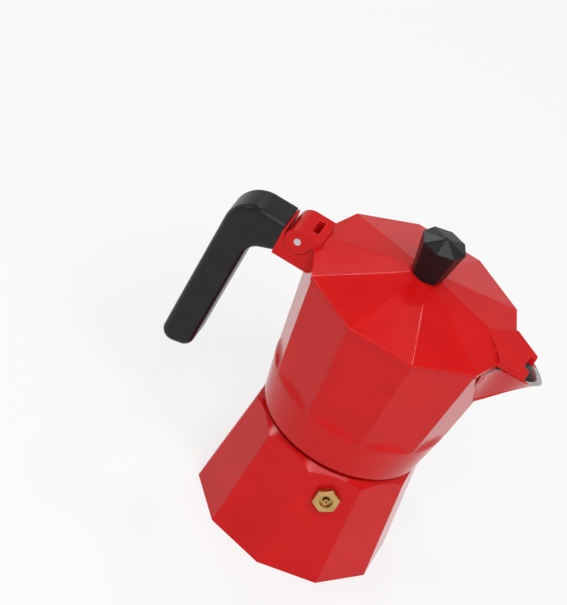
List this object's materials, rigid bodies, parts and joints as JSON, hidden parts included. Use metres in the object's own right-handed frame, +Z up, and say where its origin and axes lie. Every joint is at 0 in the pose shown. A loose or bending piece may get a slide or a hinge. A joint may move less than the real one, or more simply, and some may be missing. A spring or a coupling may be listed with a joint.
{
  "type": "moka pot",
  "caption": "Faceted stovetop coffee pot: boiler with safety valve, screw-on collector with spout and side handle, hinged lid with knob, funnel, gasket and filter inside.",
  "frame": {"origin": "middle of the flat underside of the boiler", "axes": "+Z up along the pot axis, +X towards the spout, -X towards the handle"},
  "size_m": [0.1423, 0.0874, 0.1531],
  "materials": {
    "painted_red": "gloss baked enamel over die-cast aluminium",
    "aluminium": "bare, fine satin",
    "brass": "turned",
    "steel": "bright",
    "fibre": "matt sealing fibre",
    "gasket_rubber": "white food-grade rubber",
    "black_plastic": "satin moulded thermoset"
  },
  "bodies": {
    "boiler": {"boiler": "painted_red", "valve_washer": "fibre", "valve_body": "brass", "valve_nut": "brass", "valve_retainer": "brass", "valve_spring": "steel"},
    "valve": {"valve_stem": "brass"},
    "funnel": {"funnel": "aluminium", "funnel_strainer": "aluminium"},
    "gasket": {"gasket": "gasket_rubber"},
    "collector": {"collector": "painted_red", "column": "aluminium", "filter_plate": "aluminium", "handle": "black_plastic", "handle_screw": "steel"},
    "lid": {"lid": "painted_red", "hinge_pin": "steel", "knob": "black_plastic", "knob_insert": "brass", "knob_washer": "steel", "knob_screw": "steel"}
  },
  "joints": [
    {"name": "collector_rise", "type": "slide", "parent": "boiler", "child": "gasket", "axis": [0, 0, 1], "range_m": [0, 0.0076]},
    {"name": "collector_turn", "type": "hinge", "parent": "gasket", "child": "collector", "pos_m": [0, 0, 0], "axis": [0, 0, 1], "range_deg": [0, 900]},
    {"name": "funnel_lift", "type": "slide", "parent": "boiler", "child": "funnel", "axis": [0, 0, 1], "range_m": [0, 0.0039]},
    {"name": "lid_hinge", "type": "hinge", "parent": "collector", "child": "lid", "pos_m": [-0.05, 0, 0.1215], "axis": [0, -1, 0], "range_deg": [0, 100]},
    {"name": "valve_lift", "type": "slide", "parent": "boiler", "child": "valve", "axis": [0.3072, -0.9456, 0.1072], "range_m": [0, 0.0012], "stiffness_N_per_m": 1500, "springref_m": -0.0015, "deforming": ["valve_spring"]}
  ],
  "couplings": [
    {"joint": "collector_rise", "follows": "collector_turn", "m_per_rad": 0.00047746},
    {"joint": "funnel_lift", "follows": "collector_turn", "m_per_rad": 0.00023873}
  ]
}
